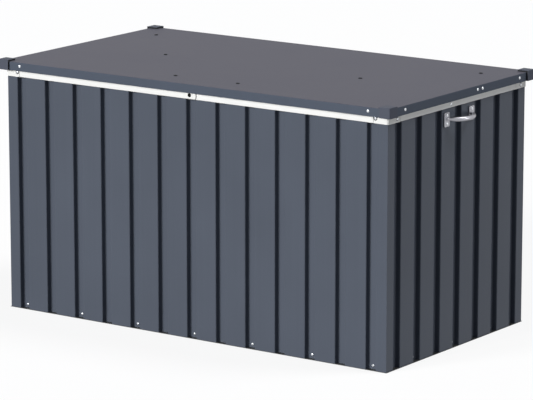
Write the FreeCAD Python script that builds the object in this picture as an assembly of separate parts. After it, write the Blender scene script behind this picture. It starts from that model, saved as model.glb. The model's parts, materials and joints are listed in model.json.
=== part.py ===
import FreeCAD, Part
import math
import os

from FreeCAD import Vector

# Garden cushion box in ribbed painted sheet steel, with a lift-up lid on two gas struts.
# Millimetres. X runs along the box, Y from the front (-) to the back (+), Z up.
# The origin is on the ground, under the middle of the box.

# Body, measured over the outer faces of the ribs and up to the top of the white rail
body_length = 1692.0
body_width = 912.0
body_height = 935.0
wall_sheet = 0.7
wall_top_gap = 4.5

# Ribbing of the walls: flat lands with upright grooves between them
rib_pitch = 130.0
groove_opening = 42.0
groove_floor = 33.0
groove_depth = 18.0
least_corner_land = 40.0
bend_radius = 3.0

# Base rails, folded to a Z, and the floor that they carry
base_sheet = 1.5
base_lip = 2.5
base_height = 34.0
base_ledge = 26.0
floor_sheet = 0.8
floor_gap = 1.0
floor_rib_pitch = 180.0
floor_rib_width = 46.0
floor_rib_rise = 3.0
bearer_width = 60.0

# Corner posts, folded to an L
post_leg = 38.0
post_sheet = 1.5

# Top rails, an upside-down U that clasps the walls, with moulded corner pieces
rail_sheet = 1.5
rail_proud = 4.5
rail_height = 49.0
corner_leg_x = 62.0
corner_leg_y = 75.0
corner_wall = 2.0
corner_radius = 9.0
tongue_length = 25.0
tongue_play = 0.2

# Lid: a folded pan with a welded angle frame inside and two slanting braces
lid_overhang = 18.0
lid_sheet = 0.8
lid_rise = 8.0
lid_height = 32.0
lid_bend = 2.5
frame_sheet = 1.5
frame_leg = 40.0
frame_drop = 29.0
brace_width = 40.0
brace_depth = 20.0
brace_sheet = 1.2
brace_notch = 10.0
brace_front_x = 139.0
brace_front_inset = 96.0
brace_side_inset = 106.0
brace_back_inset = 136.0
cap_size = 46.0
cap_wall = 7.0
cap_rise = 6.5
cap_radius = 6.0
cap_edge = 1.5
buffer_radius = 9.0
buffer_front_inset = 220.0
buffer_side_y = -60.0
rest_gap = 0.3

# Screws: pan heads on plain shanks
head_radius = 5.5
top_head_radius = 7.3
head_height = 2.6
head_round = 1.4
shank_radius = 2.1
shank_length = 9.0
screw_play = 0.1
thin_shank_length = 4.2
cam_shank_length = 8.0
base_screw_z = 14.0
rail_screw_drop = 31.0
rail_screw_inset = 49.0
side_screw_lower = 5.0
side_screw_front_inset = 53.0
side_screw_middle = -56.0
side_screw_back_inset = 36.0
flange_screw_drop = 14.0
flange_screw_inset = 71.0
side_flange_front_inset = 81.0
side_flange_back_inset = 68.0

# Hinges at the back
hinge_count = 3
hinge_spacing = 600.0
hinge_length = 72.0
hinge_sheet = 2.0
hinge_out = 12.0
hinge_drop = 30.0
knuckle_radius = 4.5
pin_radius = 2.5
pin_play = 0.05
pin_overhang = 1.0
knuckle_gap = 0.4
leaf_clearance = 1.0
leaf_low_gap = 1.5
leaf_high_gap = 5.0
hinge_screw_spacing = 44.0
lid_opens_degrees = 80.0

# Cam lock in the middle of the front rail, and the hook on the lid that its cam holds
lock_drop = 34.0
lock_face_radius = 8.8
lock_face = 0.8
lock_body_radius = 8.0
lock_barrel_radius = 6.0
lock_hole_play = 0.2
lock_end = 25.0
plate_radius = 29.0
plate_sheet = 3.5
plate_half_height = 13.0
nut_across = 22.0
nut_height = 3.8
square_drive = 7.0
cam_sheet = 2.5
cam_width = 16.0
cam_reach = 30.0
key_slot_width = 1.6
key_slot_height = 7.0
key_slot_depth = 8.0
hook_width = 30.0
hook_x = 14.0
hook_sheet = 2.0
hook_front = 24.5
hook_back = 36.0
hook_under_cam = 2.0

# Carrying handles, cast in one piece: two foot pads and a thick bow
handle_drop = 89.0
handle_span = 165.0
pad_width = 34.0
pad_height = 52.0
pad_thickness = 6.0
pad_round = 5.0
pad_edge = 1.0
bow_reach = 50.0
bow_neck_radius = 4.5
bow_grip_radius = 8.5
bow_root_half = 74.0
bow_taper = 3.2
bow_stations = 12
pad_screw_spread = 30.0

# Gas struts, one beside each end wall
strut_line = 38.0
strut_foot_shift = 10.0
strut_foot_drop = 135.0
strut_head_inset = 326.0
strut_head_drop = 25.0
tube_radius = 9.0
tube_wall = 1.5
tube_start = 12.0
gland_length = 12.0
rod_radius = 4.0
rod_play = 0.2
rod_shown = 34.0
piston_start = 30.0
piston_length = 10.0
piston_play = 0.3
eye_radius = 7.0
eye_width = 10.0
stud_radius = 4.0
stud_play = 0.08
stud_head = 2.5
stud_shoulder = 2.5
stud_flat_gap = 0.5
head_stub = 1.0
foot_plate_width = 28.0
foot_plate_height = 60.0
foot_plate_sheet = 2.5
ear_width = 44.0
ear_sheet = 2.5
ear_drop = 12.0
tab_width = 54.0
tab_shift = 14.0
tab_drop = 24.0
strut_screw_spread = 33.0

# How far a cutting shape reaches past what it cuts
overcut = 2.0

half_length = body_length / 2
half_width = body_width / 2
wall_depth = groove_depth + wall_sheet
wall_foot = base_sheet
wall_top = body_height - wall_top_gap
rail_top = body_height
rail_bottom = rail_top - rail_height
rail_screw_z = rail_top - rail_screw_drop
lid_top = rail_top + lid_rise
lid_bottom = lid_top - lid_height
flange_screw_z = lid_top - flange_screw_drop
hinge_z = rail_top - hinge_drop
leaf_low = rail_bottom + leaf_low_gap
leaf_high = lid_top - leaf_high_gap
lock_z = rail_top - lock_drop
handle_z = rail_top - handle_drop
strut_foot_z = rail_top - strut_foot_drop
strut_head_y = half_width - strut_head_inset
strut_tab_y = strut_head_y - tab_shift
strut_head_z = lid_top - strut_head_drop


def box(x0, x1, y0, y1, z0, z1):
    return Part.makeBox(x1 - x0, y1 - y0, z1 - z0, Vector(x0, y0, z0))


def rod(start, direction, radius, length):
    return Part.makeCylinder(radius, length, Vector(*start), Vector(*direction))


def upright_edges(shape, x, y):
    return [e for e in shape.Edges if abs(e.CenterOfMass.x - x) < 0.01 and abs(e.CenterOfMass.y - y) < 0.01]


def edges_at_height(shape, z):
    return [e for e in shape.Edges if abs(e.CenterOfMass.z - z) < 0.01]


def joined(shapes):
    whole = shapes[0].multiFuse(shapes[1:]) if len(shapes) > 1 else shapes[0]
    return whole.removeSplitter()


def mirrored_x(shape):
    return shape.mirror(Vector(0, 0, 0), Vector(1, 0, 0))


def mirrored_y(shape):
    return shape.mirror(Vector(0, 0, 0), Vector(0, 1, 0))


# The four sides. A wall is drawn along X with its outer face at y = 0 and the
# inside of the box at +y, then turned to its side and moved out.
SIDES = {
    "front": (0, (0, -half_width, 0), half_length),
    "back": (180, (0, half_width, 0), half_length),
    "left": (-90, (-half_length, 0, 0), half_width),
    "right": (90, (half_length, 0, 0), half_width),
}


def on_side(shape, side):
    turn, place, _ = SIDES[side]
    moved = shape.copy()
    moved.rotate(Vector(0, 0, 0), Vector(0, 0, 1), turn)
    moved.translate(Vector(*place))
    return moved


def point_on_side(x, y, z, side):
    turn, place, _ = SIDES[side]
    c, s = round(math.cos(math.radians(turn))), round(math.sin(math.radians(turn)))
    return (x * c - y * s + place[0], x * s + y * c + place[1], z)


def direction_on_side(x, y, side):
    turn = SIDES[side][0]
    c, s = round(math.cos(math.radians(turn))), round(math.sin(math.radians(turn)))
    return (x * c - y * s, x * s + y * c, 0)


# Folded sheet: a path of straight runs with rounded bends
def offset_path(points, distance):
    normals = []
    for (x0, y0), (x1, y1) in zip(points, points[1:]):
        run = math.hypot(x1 - x0, y1 - y0)
        normals.append((-(y1 - y0) / run, (x1 - x0) / run))
    moved = []
    for i, (x, y) in enumerate(points):
        before = normals[max(i - 1, 0)]
        after = normals[min(i, len(normals) - 1)]
        share = distance / (1 + before[0] * after[0] + before[1] * after[1])
        moved.append((x + (before[0] + after[0]) * share, y + (before[1] + after[1]) * share))
    return moved


def rounded_edges(points, radii):
    edges = []
    last = Vector(*points[0], 0)
    for i in range(1, len(points) - 1):
        corner = Vector(*points[i], 0)
        back = (Vector(*points[i - 1], 0) - corner).normalize()
        ahead = (Vector(*points[i + 1], 0) - corner).normalize()
        half_turn = (math.pi - back.getAngle(ahead)) / 2
        reach = radii[i] * math.tan(half_turn)
        bisector = (back + ahead).normalize()
        crown = corner + bisector * (radii[i] / math.cos(half_turn) - radii[i])
        start, end = corner + back * reach, corner + ahead * reach
        edges.append(Part.makeLine(last, start))
        edges.append(Part.Arc(start, crown, end).toShape())
        last = end
    edges.append(Part.makeLine(last, Vector(*points[-1], 0)))
    return edges


def folded_sheet(points, thickness, radius, height):
    inner = offset_path(points, thickness)
    outer_radii, inner_radii = [0.0], [0.0]
    for (x0, y0), (x1, y1), (x2, y2) in zip(points, points[1:], points[2:]):
        turns_left = (x1 - x0) * (y2 - y1) - (y1 - y0) * (x2 - x1) > 0
        outer_radii.append(radius + thickness if turns_left else radius)
        inner_radii.append(radius if turns_left else radius + thickness)
    outer_radii.append(0.0)
    inner_radii.append(0.0)
    edges = rounded_edges(points, outer_radii)
    edges.append(Part.makeLine(Vector(*points[-1], 0), Vector(*inner[-1], 0)))
    edges += rounded_edges(inner[::-1], inner_radii[::-1])
    edges.append(Part.makeLine(Vector(*inner[0], 0), Vector(*points[0], 0)))
    return Part.Face(Part.Wire(edges)).extrude(Vector(0, 0, height))


# Screws: each family is a list of places and the direction in which the shank points
def screw(place, direction, length=shank_length, radius=head_radius):
    head = Part.makeCylinder(radius, head_height)
    crown = [e for e in head.Edges if abs(e.CenterOfMass.z - head_height) < 1e-6]
    shank = Part.makeCylinder(shank_radius, length, Vector(0, 0, 0), Vector(0, 0, -1))
    body = head.makeFillet(head_round, crown).fuse(shank).removeSplitter()
    turn = FreeCAD.Rotation(Vector(0, 0, -1), Vector(*direction))
    body.Placement = FreeCAD.Placement(Vector(*place), turn)
    return body


def screws(places, radius=head_radius):
    return Part.makeCompound([screw(*place, radius=radius) for place in places])


def drilled(shape, places):
    bits = []
    for place in places:
        start, direction = Vector(*place[0]), Vector(*place[1])
        bits.append(Part.makeCylinder(shank_radius + screw_play, 3 * shank_length,
                                      start - direction * shank_length, direction))
    return shape.cut(bits)


def groove_centres(span):
    count = int((2 * span - groove_opening - 2 * least_corner_land) / rib_pitch) + 1
    return [(i - (count - 1) / 2) * rib_pitch for i in range(count)]


# Screw places
base_screws = []
rail_screws = []
for side, (_, _, span) in SIDES.items():
    long_side = side in ("front", "back")
    centres = groove_centres(span)
    inward, outward = direction_on_side(0, 1, side), direction_on_side(0, -1, side)
    for x in centres[0 if long_side else 1::2]:
        base_screws.append((point_on_side(x, groove_depth, base_screw_z, side), inward))
    outer_z = rail_screw_z
    if long_side:
        spots = [-(span - rail_screw_inset), span - rail_screw_inset]
    else:
        outer_z -= side_screw_lower
        toward_back = 1 if side == "right" else -1
        spots = [toward_back * y for y in (-(span - side_screw_front_inset), side_screw_middle,
                                           span - side_screw_back_inset)]
    for x in spots:
        rail_screws.append((point_on_side(x, -rail_proud, outer_z, side), inward))
    for x in centres[2:-2:2]:
        if abs(x) > nut_across:
            inner_face = point_on_side(x, wall_depth + rail_sheet, rail_screw_z, side)
            rail_screws.append((inner_face, outward, groove_depth))

lid_half_length = half_length + lid_overhang
lid_half_width = half_width + lid_overhang
flange_screws = []
for end in (-1, 1):
    for face in (-1, 1):
        x = end * (half_length - flange_screw_inset)
        flange_screws.append(((x, face * lid_half_width, flange_screw_z), (0, -face, 0)))
    for y in (-half_width + side_flange_front_inset, strut_tab_y - strut_screw_spread / 2,
              strut_tab_y + strut_screw_spread / 2, half_width - side_flange_back_inset):
        flange_screws.append(((end * lid_half_length, y, flange_screw_z), (-end, 0, 0)))

brace_front = Vector(brace_front_x, -half_width + brace_front_inset, 0)
brace_back = Vector(half_length - brace_side_inset, half_width - brace_back_inset, 0)
top_screws = []
for end in (-1, 1):
    for share in (0, 0.5, 1):
        spot = brace_front + (brace_back - brace_front) * share
        top_screws.append(((end * spot.x, spot.y, lid_top), (0, 0, -1)))

handle_screws = []
for side in ("left", "right"):
    for x in (-handle_span / 2, handle_span / 2):
        for dz in (-pad_screw_spread / 2, pad_screw_spread / 2):
            handle_screws.append((point_on_side(x, -pad_thickness, handle_z + dz, side),
                                  direction_on_side(0, 1, side), pad_thickness + shank_length))

hinge_centres = [(i - (hinge_count - 1) / 2) * hinge_spacing for i in range(hinge_count)]
hinge_y = half_width + hinge_out
rail_face_y = half_width + rail_proud
leaf_outer_y = lid_half_width - lid_sheet - frame_sheet
lower_hinge_screws = []
upper_hinge_screws = []
low_screw_z = (leaf_low + hinge_z - knuckle_radius) / 2
high_screw_z = (hinge_z + leaf_high) / 2 + knuckle_radius
for centre in hinge_centres:
    for x in (centre - hinge_screw_spacing / 2, centre + hinge_screw_spacing / 2):
        low_spot = (x, rail_face_y + hinge_sheet, low_screw_z)
        high_spot = (x, leaf_outer_y - hinge_sheet, high_screw_z)
        lower_hinge_screws.append((low_spot, (0, -1, 0), thin_shank_length))
        upper_hinge_screws.append((high_spot, (0, 1, 0), thin_shank_length))


# Where the strut's foot stands: the floor of the end wall's last groove
strut_groove_y = groove_centres(half_width)[-1]
strut_foot_y = strut_groove_y + strut_foot_shift
strut_x = half_length - strut_line


# Ribbed wall panels
def wall(side):
    span = SIDES[side][2]
    if side in ("left", "right"):
        span -= wall_sheet
    path = [(-span, 0)]
    for x in groove_centres(SIDES[side][2]):
        path += [(x - groove_opening / 2, 0), (x - groove_floor / 2, groove_depth),
                 (x + groove_floor / 2, groove_depth), (x + groove_opening / 2, 0)]
    path.append((span, 0))
    panel = folded_sheet(path, wall_sheet, bend_radius, wall_top - wall_foot)
    panel.translate(Vector(0, 0, wall_foot))
    return on_side(panel, side)


# Base rails: a lip under the wall, a web behind the groove floors, a ledge for the floor
def base_rail(side):
    span = SIDES[side][2]
    web = wall_depth + base_sheet
    if side in ("front", "back"):
        lip_end, web_end = span + base_lip, span - wall_sheet - post_sheet
        ledge_end = span - web
    else:
        lip_end, web_end = span - web, span - web
        ledge_end = span - wall_depth - base_ledge
    rail = joined([
        box(-lip_end, lip_end, -base_lip, web, 0, base_sheet),
        box(-web_end, web_end, wall_depth, web, 0, base_height),
        box(-ledge_end, ledge_end, wall_depth, wall_depth + base_ledge,
            base_height - base_sheet, base_height),
    ])
    return on_side(rail, side)


def floor_panel():
    inner_end = floor_gap / 2
    outer_end = half_length - wall_depth - base_sheet - floor_gap
    count = int((outer_end - inner_end - bearer_width) / floor_rib_pitch)
    middle = (inner_end + outer_end) / 2
    path = [(inner_end, 0)]
    for i in range(count):
        x = middle + (i - (count - 1) / 2) * floor_rib_pitch
        slope = floor_rib_rise
        path += [(x - floor_rib_width / 2, 0), (x - floor_rib_width / 2 + slope, floor_rib_rise),
                 (x + floor_rib_width / 2 - slope, floor_rib_rise), (x + floor_rib_width / 2, 0)]
    path.append((outer_end, 0))
    depth = half_width - wall_depth - base_sheet - floor_gap
    panel = folded_sheet(path, floor_sheet, bend_radius, 2 * depth)
    panel.rotate(Vector(0, 0, 0), Vector(1, 0, 0), 90)
    panel.translate(Vector(0, depth, base_height))
    return panel


def floor_bearer():
    reach = half_width - wall_depth - base_ledge
    half = bearer_width / 2
    path = [(half, 0), (half, base_height), (-half, base_height), (-half, 0)]
    bearer = folded_sheet(path, base_sheet, base_sheet, 2 * reach)
    bearer.rotate(Vector(0, 0, 0), Vector(1, 0, 0), 90)
    bearer.translate(Vector(0, reach, 0))
    return bearer


# Corner post at the front right, copied to the other corners by mirroring
def corner_post():
    x1, y0 = half_length - wall_sheet, -half_width + wall_sheet
    return joined([
        box(x1 - post_leg, x1, y0, y0 + post_sheet, base_sheet, wall_top),
        box(x1 - post_sheet, x1, y0, y0 + post_leg, base_sheet, wall_top),
    ])


# Top rail with the walls between its two webs
def top_rail(side):
    long_side = side in ("front", "back")
    end = SIDES[side][2] + rail_proud - (corner_leg_x if long_side else corner_leg_y)
    back = wall_depth + rail_sheet
    rail = joined([
        box(-end, end, -rail_proud, 0, rail_bottom, rail_bottom + rail_sheet),
        box(-end, end, -rail_proud, -rail_proud + rail_sheet, rail_bottom, rail_top),
        box(-end, end, -rail_proud, back, rail_top - rail_sheet, rail_top),
        box(-end, end, wall_depth, back, rail_bottom, rail_top),
    ])
    return on_side(rail, side)


def corner_channel(inset, ceiling, x_end, y_end):
    x1, y1 = half_length + rail_proud - inset, half_width + rail_proud - inset
    x0 = half_length - wall_depth - corner_wall + inset
    y0 = half_width - wall_depth - corner_wall + inset
    along_front = box(x_end, x1, -y1, -y0, rail_bottom, ceiling)
    return along_front.fuse(box(x0, x1, -y1, -y_end, rail_bottom, ceiling)).removeSplitter()


def top_corner():
    x_end = half_length + rail_proud - corner_leg_x
    y_end = half_width + rail_proud - corner_leg_y
    corner_x, corner_y = half_length + rail_proud, -half_width - rail_proud
    outer = corner_channel(0, rail_top, x_end, y_end)
    outer = outer.makeFillet(corner_radius, upright_edges(outer, corner_x, corner_y))
    inner = corner_channel(corner_wall, rail_top - corner_wall, x_end - overcut, y_end - overcut)
    inner = inner.makeFillet(corner_radius - corner_wall,
                             upright_edges(inner, corner_x - corner_wall, corner_y + corner_wall))
    lip = box(0, corner_x, corner_y, 0, rail_bottom, rail_bottom + corner_wall)
    between_walls = box(0, half_length, -half_width, 0, rail_bottom, rail_top)
    cavity = inner.cut(lip).fuse(inner.common(between_walls))
    tongue_top = rail_top - rail_sheet - tongue_play
    tongue = (tongue_top - corner_wall, tongue_top)
    y_in, x_in = half_width - wall_depth + tongue_play, half_length - wall_depth + tongue_play
    y_out = half_width + rail_proud - corner_wall
    x_out = half_length + rail_proud - corner_wall
    tongues = [box(x_end - tongue_length, x_end + tongue_length / 2, -y_out, -y_in, *tongue),
               box(x_in, x_out, -y_end - tongue_length / 2, -y_end + tongue_length, *tongue)]
    return joined([outer.cut(cavity)] + tongues)


# Lid
def rounded_pan_block(inset, radius):
    x, y = lid_half_length - inset, lid_half_width - inset
    block = box(-x, x, -y, y, lid_bottom - inset, lid_top - inset)
    middle = (lid_top + lid_bottom) / 2 - inset
    return block.makeFillet(radius, edges_at_height(block, lid_top - inset) + edges_at_height(block, middle))


def lid_panel():
    return rounded_pan_block(0, lid_bend).cut(rounded_pan_block(lid_sheet, lid_bend - lid_sheet))


def lid_frame():
    x, y, top = lid_half_length - lid_sheet, lid_half_width - lid_sheet, lid_top - lid_sheet
    low = top - frame_drop
    outer = box(-x, x, -y, y, low, top)
    corner_round = lid_bend - lid_sheet
    outer = outer.makeFillet(corner_round, [e for e in outer.Edges if e.CenterOfMass.z > low + 1e-6])
    xi, yi = x - frame_sheet, y - frame_sheet
    hollow = box(-xi, xi, -yi, yi, low, top - frame_sheet)
    window = box(-x + frame_leg, x - frame_leg, -y + frame_leg, y - frame_leg, low, top)
    return outer.cut([hollow, window]).removeSplitter()


def lid_brace():
    top = lid_top - lid_sheet
    along = brace_back - brace_front
    length = along.Length
    half = brace_width / 2
    path = [(half, -brace_depth), (half, 0), (-half, 0), (-half, -brace_depth)]
    channel = folded_sheet(path, brace_sheet, brace_sheet, 2 * length)
    channel.rotate(Vector(0, 0, 0), Vector(1, 0, 0), 90)
    channel.translate(Vector(0, 1.5 * length, 0))
    channel.rotate(Vector(0, 0, 0), Vector(0, 0, 1), math.degrees(math.atan2(along.y, along.x)) - 90)
    channel.translate(brace_front + Vector(0, 0, top))
    inside_x = lid_half_length - lid_sheet - frame_leg
    inside_y = lid_half_width - lid_sheet - frame_leg
    notch = box(0, inside_x, inside_y - brace_notch, inside_y, top - brace_depth, top - brace_sheet)
    return channel.common(box(0, inside_x, -inside_y, inside_y, top - brace_depth, top)).cut(notch)


def corner_cap():
    x1, y1 = lid_half_length + cap_wall, -lid_half_width - cap_wall
    block = box(x1 - cap_size, x1, y1, y1 + cap_size, lid_bottom, lid_top + cap_rise)
    block = block.makeFillet(cap_radius, upright_edges(block, x1, y1))
    block = block.makeFillet(cap_edge, edges_at_height(block, lid_top + cap_rise))
    return block.cut(box(0, lid_half_length, -lid_half_width, 0, lid_bottom, lid_top))


def lid_hook():
    top = lid_top - lid_sheet - frame_sheet
    lip_top = lock_z - cam_width / 2 - hook_under_cam
    y = -half_width
    x0, x1 = hook_x, hook_x + hook_width
    arm_front = y - lid_overhang + lid_sheet + frame_leg - hook_width / 2
    return joined([
        box(x0, x1, arm_front, y + hook_back, top - hook_sheet, top),
        box(x0, x1, y + hook_back - hook_sheet, y + hook_back, lip_top - hook_sheet, top),
        box(x0, x1, y + hook_front, y + hook_back, lip_top - hook_sheet, lip_top),
    ])


def lid_buffers():
    top = lid_top - lid_sheet - frame_sheet
    seat = rail_top + rest_gap
    middle = (wall_depth + rail_sheet - rail_proud) / 2
    pads = []
    for end in (-1, 1):
        on_front = (half_length - buffer_front_inset, middle - half_width)
        on_side_rail = (half_length - middle, buffer_side_y)
        for x, y in (on_front, on_side_rail):
            pads.append(rod((end * x, y, seat), (0, 0, 1), buffer_radius, top - seat))
    return Part.makeCompound(pads)


# Hinges: five knuckles each, three on the lower leaf and two on the upper
def knuckle_spans(first):
    step = hinge_length / 5
    starts = [-hinge_length / 2 + i * step for i in range(first, 5, 2)]
    return [(start + knuckle_gap / 2, start + step - knuckle_gap / 2) for start in starts]


def hinge_leaf(x, first, plate, neck):
    parts = [plate]
    for a, b in knuckle_spans(first):
        parts.append(rod((x + a, hinge_y, hinge_z), (1, 0, 0), knuckle_radius, b - a))
        parts.append(neck(x + a, x + b))
    leaf = joined(parts)
    bore = rod((x - hinge_length, hinge_y, hinge_z), (1, 0, 0), pin_radius + pin_play, 2 * hinge_length)
    return leaf.cut(bore)


def lower_leaf(x):
    neck_low = hinge_z - knuckle_radius
    plate = box(x - hinge_length / 2, x + hinge_length / 2, rail_face_y, rail_face_y + hinge_sheet,
                leaf_low, neck_low + hinge_sheet)

    def neck(start, end):
        return box(start, end, rail_face_y, hinge_y, neck_low, neck_low + hinge_sheet)

    return hinge_leaf(x, 0, plate, neck)


def upper_leaf(x):
    plate_low = hinge_z + knuckle_radius + leaf_clearance
    plate = box(x - hinge_length / 2, x + hinge_length / 2, leaf_outer_y - hinge_sheet, leaf_outer_y,
                plate_low, leaf_high)

    def neck(start, end):
        return box(start, end, leaf_outer_y - hinge_sheet, leaf_outer_y, hinge_z, plate_low)

    return hinge_leaf(x, 1, plate, neck)


# Cam lock, drawn at the front wall's centre with y counted from the ribs' outer faces
front_y = -half_width
plate_face = -rail_proud - plate_sheet
lock_hole = rod((0, front_y + plate_face, lock_z), (0, 1, 0), lock_body_radius + lock_hole_play,
                wall_depth + rail_sheet - plate_face)


def lock_escutcheon():
    disc = rod((0, front_y - rail_proud, lock_z), (0, -1, 0), plate_radius, plate_sheet)
    rim = [e for e in disc.Edges if abs(e.CenterOfMass.y - front_y - plate_face) < 1e-6]
    disc = disc.makeFillet(plate_sheet / 2, rim)
    disc = disc.common(box(-plate_radius, plate_radius, front_y + plate_face, front_y,
                           lock_z - plate_half_height, lock_z + plate_half_height))
    return disc.cut(lock_hole)


def lock_housing():
    face = front_y + plate_face
    flange = rod((0, face, lock_z), (0, -1, 0), lock_face_radius, lock_face)
    body = rod((0, face, lock_z), (0, 1, 0), lock_body_radius, lock_end - plate_face)
    bore = rod((0, face - lock_face, lock_z), (0, 1, 0), lock_barrel_radius + pin_play,
               lock_end - plate_face + lock_face)
    return joined([flange, body]).cut(bore)


def lock_nut():
    y = front_y + wall_depth + rail_sheet
    corner = nut_across / math.sqrt(3)
    turns = [math.radians(60 * i) for i in range(7)]
    points = [Vector(corner * math.cos(t), y, lock_z + corner * math.sin(t)) for t in turns]
    nut = Part.Face(Part.makePolygon(points)).extrude(Vector(0, nut_height, 0))
    return nut.cut(rod((0, y, lock_z), (0, 1, 0), lock_body_radius + pin_play, nut_height))


def lock_barrel():
    face = front_y + plate_face - lock_face
    barrel = rod((0, face, lock_z), (0, 1, 0), lock_barrel_radius, lock_end + front_y - face + rest_gap)
    drive_start = front_y + lock_end + rest_gap
    drive_end = drive_start + cam_sheet
    drive = box(-square_drive / 2, square_drive / 2, drive_start - overcut, drive_end,
                lock_z - square_drive / 2, lock_z + square_drive / 2)
    slot = box(-key_slot_width / 2, key_slot_width / 2, face, face + key_slot_depth,
               lock_z - key_slot_height / 2, lock_z + key_slot_height / 2)
    hole = rod((0, drive_end, lock_z), (0, -1, 0), shank_radius + screw_play, cam_shank_length + overcut)
    return joined([barrel, drive]).cut([slot, hole])


def lock_cam():
    y0 = front_y + lock_end + rest_gap
    y1 = y0 + cam_sheet
    half = cam_width / 2
    blade = box(-half, half, y0, y1, lock_z, lock_z + cam_reach)
    hub = rod((0, y0, lock_z), (0, 1, 0), half, cam_sheet)
    cam = joined([blade, hub])
    tip = [e for e in cam.Edges if abs(e.CenterOfMass.z - lock_z - cam_reach) < 0.01
           and abs(abs(e.CenterOfMass.x) - half) < 0.01]
    cam = cam.makeFillet(half / 2, tip)
    play = screw_play / 2
    return cam.cut(box(-square_drive / 2 - play, square_drive / 2 + play, y0, y1,
                       lock_z - square_drive / 2 - play, lock_z + square_drive / 2 + play))


# Carrying handle: pads on the wall and a bow on a circular arc, thick in the middle
def handle(side):
    parts = []
    for x in (-handle_span / 2, handle_span / 2):
        pad = box(x - pad_width / 2, x + pad_width / 2, -pad_thickness, 0,
                  handle_z - pad_height / 2, handle_z + pad_height / 2)
        corners = [e for e in pad.Edges if abs(e.BoundBox.YLength - pad_thickness) < 1e-6]
        pad = pad.makeFillet(pad_round, corners)
        rim = [e for e in pad.Edges if abs(e.CenterOfMass.y + pad_thickness) < 1e-6]
        parts.append(pad.makeChamfer(pad_edge, rim))
    rise = bow_reach - pad_thickness / 2
    arc_radius = (bow_root_half ** 2 + rise ** 2) / (2 * rise)
    centre_y = -bow_reach + arc_radius
    sweep = math.asin(bow_root_half / arc_radius)
    rings = []
    for i in range(bow_stations + 1):
        share = 2 * i / bow_stations - 1
        angle = share * sweep
        fullness = math.sin(min(1.0, bow_taper * (1 - abs(share))) * math.pi / 2) ** 2
        radius = bow_neck_radius + (bow_grip_radius - bow_neck_radius) * fullness
        centre = Vector(arc_radius * math.sin(angle), centre_y - arc_radius * math.cos(angle), handle_z)
        tangent = Vector(math.cos(angle), math.sin(angle), 0)
        rings.append(Part.Wire(Part.Circle(centre, tangent, radius).toShape()))
    parts.append(Part.makeLoft(rings, True, False))
    return on_side(joined(parts), side)


# Gas strut on the right, drawn lying along +X from its foot and then swung up to its place
def turned(shape, angle, y, z):
    moved = shape.copy()
    moved.rotate(Vector(0, 0, 0), Vector(0, 0, 1), 90)
    moved.rotate(Vector(0, 0, 0), Vector(1, 0, 0), angle)
    moved.translate(Vector(strut_x, y, z))
    return moved


def lathe(points):
    outline = Part.makePolygon([Vector(x, 0, r) for x, r in points + points[:1]])
    return Part.Face(outline).revolve(Vector(0, 0, 0), Vector(1, 0, 0), 360)


strut_dy = strut_head_y - strut_foot_y
strut_dz = strut_head_z - strut_foot_z
strut_closed = math.hypot(strut_dy, strut_dz)
strut_angle = math.degrees(math.atan2(strut_dz, strut_dy))
tube_end = strut_closed - rod_shown


def strut_tube():
    bore = tube_radius - tube_wall
    gland = tube_end - gland_length
    shell = lathe([(tube_start, 0), (tube_start, tube_radius), (tube_end, tube_radius),
                   (tube_end, rod_radius + rod_play), (gland, rod_radius + rod_play), (gland, bore),
                   (tube_start + 2 * tube_wall, bore), (tube_start + 2 * tube_wall, 0)])
    neck = box(0, tube_start + tube_wall, -eye_radius / 2, eye_radius / 2, -eye_width / 2, eye_width / 2)
    neck.rotate(Vector(0, 0, 0), Vector(1, 0, 0), 90)
    eye = rod((0, -eye_width / 2, 0), (0, 1, 0), eye_radius, eye_width)
    whole = joined([shell, neck, eye])
    return whole.cut(rod((0, -eye_width, 0), (0, 1, 0), stud_radius + stud_play, 2 * eye_width))


def strut_rod():
    start = piston_start + piston_length
    shaft = lathe([(piston_start, 0), (piston_start, tube_radius - tube_wall - piston_play),
                   (start, tube_radius - tube_wall - piston_play), (start, rod_radius),
                   (strut_closed, rod_radius), (strut_closed, 0)])
    eye = rod((strut_closed, -eye_width / 2, 0), (0, 1, 0), eye_radius, eye_width)
    stub = rod((strut_closed, 0, 0), (0, -1, 0), stud_radius, eye_width / 2 + head_stub)
    cap = rod((strut_closed, eye_width / 2, 0), (0, 1, 0), stud_radius, stud_head)
    return joined([shaft, eye, stub, cap])


def strut_foot():
    wall_face = half_length - wall_depth
    plate_low, plate_high = strut_foot_z - foot_plate_height / 2, strut_foot_z + foot_plate_height / 2
    plate = box(wall_face - foot_plate_sheet, wall_face, strut_groove_y - foot_plate_width / 2,
                strut_groove_y + foot_plate_width / 2, plate_low, plate_high)
    foot = (strut_foot_y, strut_foot_z)
    plate_face_x = wall_face - foot_plate_sheet
    inner_end = strut_x - eye_width / 2 - stud_flat_gap
    outer_end = strut_x + eye_width / 2 + stud_flat_gap
    stud = rod((plate_face_x, *foot), (-1, 0, 0), stud_radius, plate_face_x - inner_end)
    shoulder = rod((plate_face_x, *foot), (-1, 0, 0), stud_radius + stud_shoulder, plate_face_x - outer_end)
    head = rod((inner_end, *foot), (-1, 0, 0), stud_radius + stud_shoulder, stud_head)
    return joined([plate, stud, shoulder, head])


def strut_head():
    top = lid_top - lid_sheet - frame_sheet
    ear_x = strut_x + eye_width / 2 + head_stub + rest_gap
    flange_x = lid_half_length - lid_sheet - frame_sheet
    low = strut_head_z - ear_drop
    y0, y1 = strut_head_y - ear_width / 2, strut_head_y + ear_width / 2
    ear = box(ear_x, ear_x + ear_sheet, y0, y1, low, top)
    bridge = box(ear_x, flange_x, y0, y1, top - ear_sheet, top)
    tab = box(flange_x - ear_sheet, flange_x, strut_tab_y - tab_width / 2, strut_tab_y + tab_width / 2,
              top - tab_drop, top)
    return joined([ear, bridge, tab])


# All pieces by node name
body_screws = base_screws + rail_screws + handle_screws

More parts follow.
